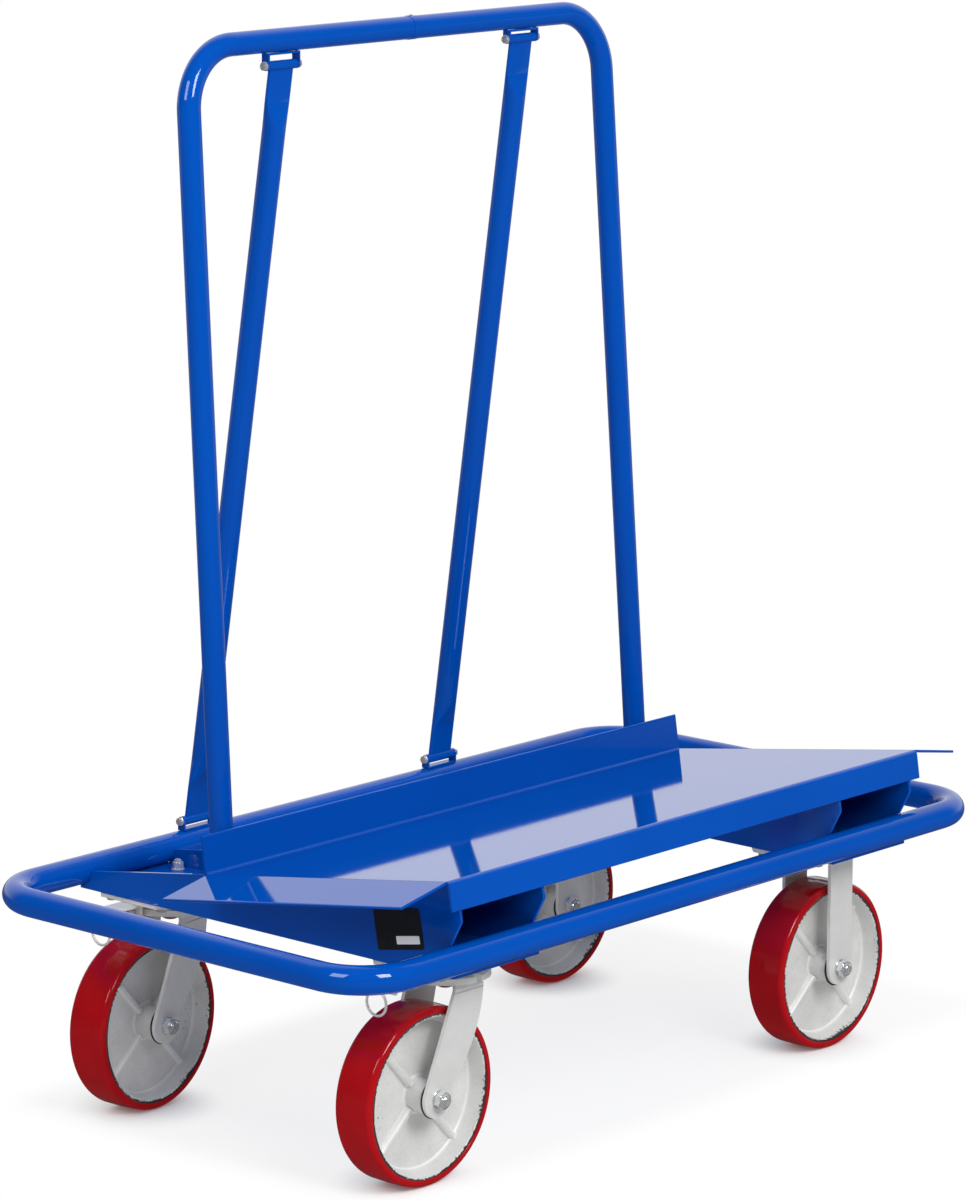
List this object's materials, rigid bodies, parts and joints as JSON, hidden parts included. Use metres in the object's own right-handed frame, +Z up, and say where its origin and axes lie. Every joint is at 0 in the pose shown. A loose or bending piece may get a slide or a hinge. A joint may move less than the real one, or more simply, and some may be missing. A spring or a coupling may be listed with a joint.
{
  "type": "sheet goods cart",
  "caption": "Panel cart with a tube ring base on red-tread casters, a tilted sheet-metal tray on cross channels and a braced, back-leaning tube upright for standing sheets.",
  "frame": {"origin": "on the floor, under the centre of the overall bounding box", "axes": "+X along the cart towards the rigid casters, +Y from the open front towards the upright, +Z up"},
  "size_m": [1.0952, 0.5992, 1.2139],
  "materials": {
    "blue_powder_coat": "gloss powder coat",
    "zinc_plate": "satin zinc",
    "bright_zinc": "bright zinc",
    "cast_core": "as cast",
    "red_polyurethane": "gloss",
    "bearing_steel": "ground"
  },
  "bodies": {
    "frame": {"base_ring": "blue_powder_coat", "left_channel": "blue_powder_coat", "right_channel": "blue_powder_coat", "deck_tray": "blue_powder_coat", "upright_left": "blue_powder_coat", "upright_right": "blue_powder_coat", "brace_left": "blue_powder_coat", "brace_right": "blue_powder_coat", "brace_foot_bracket_left": "blue_powder_coat", "brace_foot_bracket_right": "blue_powder_coat", "brace_top_bracket_left": "blue_powder_coat", "brace_top_bracket_right": "blue_powder_coat", "brace_foot_bolt_left": "bright_zinc", "brace_foot_bolt_right": "bright_zinc", "brace_top_bolt_left": "bright_zinc", "brace_top_bolt_right": "bright_zinc", "upright_bolt": "bright_zinc", "upright_spigot": "zinc_plate", "front_left_swivel_plate": "zinc_plate", "front_left_lock_bracket": "zinc_plate", "front_left_ball_ring": "bearing_steel", "front_left_kingpin": "bright_zinc", "front_left_lock_spring": "bearing_steel", "back_left_swivel_plate": "zinc_plate", "back_left_lock_bracket": "zinc_plate", "back_left_ball_ring": "bearing_steel", "back_left_kingpin": "bright_zinc", "back_left_lock_spring": "bearing_steel", "front_right_axle_sleeve": "bearing_steel", "front_right_axle_bolt": "bright_zinc", "front_right_axle_nut": "bright_zinc", "front_right_rigid_fork": "zinc_plate", "back_right_axle_sleeve": "bearing_steel", "back_right_axle_bolt": "bright_zinc", "back_right_axle_nut": "bright_zinc", "back_right_rigid_fork": "zinc_plate"},
    "front_left_wheel": {"front_left_wheel_tread": "red_polyurethane", "front_left_wheel_core": "cast_core", "front_left_wheel_bush": "bearing_steel"},
    "front_left_swivel": {"front_left_swivel_fork": "zinc_plate", "front_left_axle_bolt": "bright_zinc", "front_left_axle_nut": "bright_zinc", "front_left_axle_sleeve": "bearing_steel"},
    "front_left_lock_pin": {"front_left_lock_pin": "bright_zinc"},
    "front_left_pull_ring": {"front_left_pull_ring": "bright_zinc"},
    "back_left_wheel": {"back_left_wheel_tread": "red_polyurethane", "back_left_wheel_core": "cast_core", "back_left_wheel_bush": "bearing_steel"},
    "back_left_swivel": {"back_left_swivel_fork": "zinc_plate", "back_left_axle_bolt": "bright_zinc", "back_left_axle_nut": "bright_zinc", "back_left_axle_sleeve": "bearing_steel"},
    "back_left_lock_pin": {"back_left_lock_pin": "bright_zinc"},
    "back_left_pull_ring": {"back_left_pull_ring": "bright_zinc"},
    "front_right_wheel": {"front_right_wheel_tread": "red_polyurethane", "front_right_wheel_core": "cast_core", "front_right_wheel_bush": "bearing_steel"},
    "back_right_wheel": {"back_right_wheel_tread": "red_polyurethane", "back_right_wheel_core": "cast_core", "back_right_wheel_bush": "bearing_steel"}
  },
  "joints": [
    {"name": "front_left_swivel_turn", "type": "hinge", "parent": "frame", "child": "front_left_swivel", "pos_m": [-0.327, -0.21, 0.224], "axis": [0, 0, 1], "continuous": true},
    {"name": "front_left_wheel_spin", "type": "hinge", "parent": "front_left_swivel", "child": "front_left_wheel", "pos_m": [-0.377, -0.21, 0.1], "axis": [0, 1, 0], "continuous": true},
    {"name": "front_left_lock_slide", "type": "slide", "parent": "frame", "child": "front_left_lock_pin", "axis": [1, 0, 0], "range_m": [0, 0.0085]},
    {"name": "front_left_ring_swing", "type": "hinge", "parent": "front_left_lock_pin", "child": "front_left_pull_ring", "pos_m": [-0.4362, -0.21, 0.227], "axis": [0, 1, 0], "range_deg": [-15, 100]},
    {"name": "back_left_swivel_turn", "type": "hinge", "parent": "frame", "child": "back_left_swivel", "pos_m": [-0.327, 0.21, 0.224], "axis": [0, 0, 1], "continuous": true},
    {"name": "back_left_wheel_spin", "type": "hinge", "parent": "back_left_swivel", "child": "back_left_wheel", "pos_m": [-0.37681, 0.20564, 0.1], "axis": [-0.0872, 0.9962, 0], "continuous": true},
    {"name": "back_left_lock_slide", "type": "slide", "parent": "frame", "child": "back_left_lock_pin", "axis": [1, 0, 0], "range_m": [0, 0.0085]},
    {"name": "back_left_ring_swing", "type": "hinge", "parent": "back_left_lock_pin", "child": "back_left_pull_ring", "pos_m": [-0.4362, 0.21, 0.227], "axis": [0, 1, 0], "range_deg": [-15, 100]},
    {"name": "front_right_wheel_spin", "type": "hinge", "parent": "frame", "child": "front_right_wheel", "pos_m": [0.327, -0.21, 0.1], "axis": [0, 1, 0], "continuous": true},
    {"name": "back_right_wheel_spin", "type": "hinge", "parent": "frame", "child": "back_right_wheel", "pos_m": [0.327, 0.21, 0.1], "axis": [0, 1, 0], "continuous": true}
  ]
}
